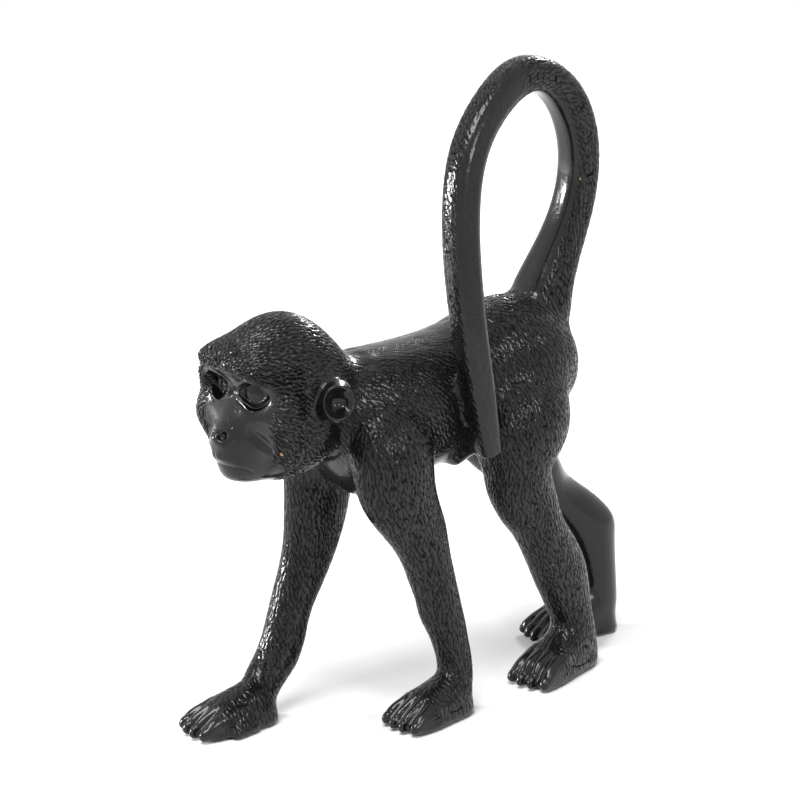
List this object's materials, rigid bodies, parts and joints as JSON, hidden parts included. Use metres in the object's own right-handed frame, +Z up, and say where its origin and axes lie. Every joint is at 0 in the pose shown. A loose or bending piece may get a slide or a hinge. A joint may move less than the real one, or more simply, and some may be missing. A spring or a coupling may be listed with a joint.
{
  "type": "monkey figurine",
  "caption": "Standing walking monkey ornament in cast resin on all fours, with a long tail that loops up from the rump and comes down on the left flank.",
  "frame": {"origin": "on the floor under the middle of the bounding box", "axes": "+Z up, -Y the way the monkey walks, +X its left side; the shelf plane is Z = 0"},
  "size_m": [0.1089, 0.3346, 0.3943],
  "materials": {
    "black_resin": "semi-gloss black lacquer over cast polyresin, with a few gilt flecks where the undercoat shows",
    "steel": "plain drawn wire and rod, hidden inside the castings",
    "felt": "black needle felt"
  },
  "bodies": {
    "root": {"torso": "black_resin", "head": "black_resin", "left_arm": "black_resin", "right_arm": "black_resin", "left_leg": "black_resin", "right_leg": "black_resin", "tail": "black_resin", "neck_dowel": "steel", "left_arm_rod": "steel", "right_arm_rod": "steel", "left_leg_rod": "steel", "right_leg_rod": "steel", "tail_root_pin": "steel", "tail_tip_pin": "steel", "left_hand_pad": "felt", "right_hand_pad": "felt", "left_foot_pad": "felt", "right_foot_pad": "felt"}
  },
  "joints": []
}
